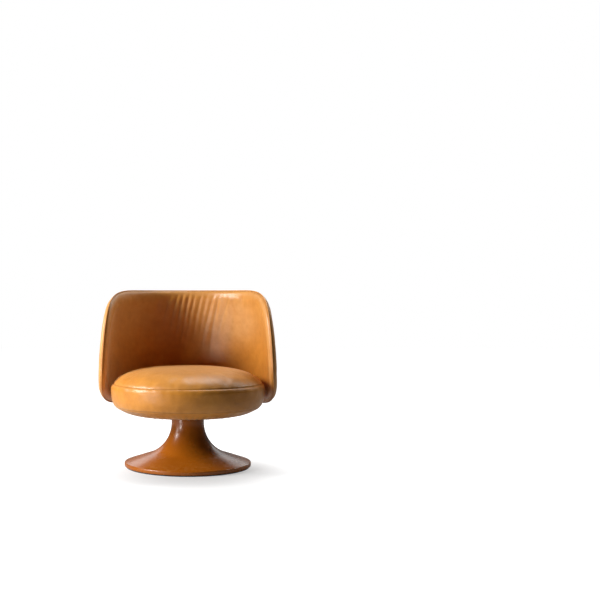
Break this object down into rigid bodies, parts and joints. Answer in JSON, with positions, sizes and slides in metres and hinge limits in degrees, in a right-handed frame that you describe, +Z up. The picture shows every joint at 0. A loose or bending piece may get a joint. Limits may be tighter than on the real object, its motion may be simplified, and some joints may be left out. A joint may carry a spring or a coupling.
{
  "type": "pedestal swivel armchair",
  "caption": "Low lounge armchair in tan leather: a round domed seat cushion, a padded back that wraps round it to the arms, and a trumpet-shaped swivel foot",
  "frame": {"origin": "On the swivel axis at floor level, at the centre of the underside of the foot's felt pad.", "axes": "+Z is up along the swivel axis, -Y is the way the sitter looks with the seat at rest, and +X is to the sitter's left."},
  "size_m": [0.7094, 0.6495, 0.7035],
  "materials": {
    "tan_leather": "satin",
    "tan_lacquer": "satin",
    "bare_steel": "satin",
    "black_steel": "satin",
    "nylon": "satin",
    "felt": "matte",
    "black_cloth": "matte",
    "plywood": "matte",
    "cream_foam": "matte",
    "grey_foam": "matte"
  },
  "bodies": {
    "base": {"floor_pad": "felt", "ballast_plate": "bare_steel", "pedestal_shell": "tan_lacquer", "column_tube": "black_steel", "foot_screw_1": "bare_steel", "foot_screw_2": "bare_steel", "foot_screw_3": "bare_steel", "foot_screw_4": "bare_steel", "neck_centring_ring": "nylon", "lower_bush": "nylon", "upper_bush": "nylon", "lower_race": "bare_steel", "ball_ring": "bare_steel"},
    "seat": {"upper_race": "bare_steel", "spindle": "bare_steel", "spindle_washer": "bare_steel", "retaining_ring": "black_steel", "swivel_plate": "black_steel", "plate_bolt_1": "bare_steel", "plate_bolt_2": "bare_steel", "plate_bolt_3": "bare_steel", "plate_bolt_4": "bare_steel", "tee_nut_1": "bare_steel", "tee_nut_2": "bare_steel", "tee_nut_3": "bare_steel", "tee_nut_4": "bare_steel", "seat_board": "plywood", "dust_cover": "black_cloth", "seat_foam": "cream_foam", "seat_top_cover": "tan_leather", "seat_side_cover": "tan_leather", "seat_under_cover": "tan_leather", "back_bracket_1": "black_steel", "back_bracket_2": "black_steel", "back_bracket_3": "black_steel", "back_sleeve_1": "black_steel", "back_sleeve_2": "black_steel", "back_sleeve_3": "black_steel", "back_bolt_1": "bare_steel", "back_bolt_2": "bare_steel", "back_bolt_3": "bare_steel", "back_insert_1": "bare_steel", "back_insert_2": "bare_steel", "back_insert_3": "bare_steel", "back_shell": "plywood", "back_inner_foam": "cream_foam", "back_outer_foam": "grey_foam", "back_inner_cover": "tan_leather", "back_outer_cover": "tan_leather", "back_welt": "tan_leather"}
  },
  "joints": [
    {"name": "seat_swivel", "type": "hinge", "parent": "base", "child": "seat", "pos_m": [0, 0, 0.19], "axis": [0, 0, 1], "continuous": true}
  ]
}
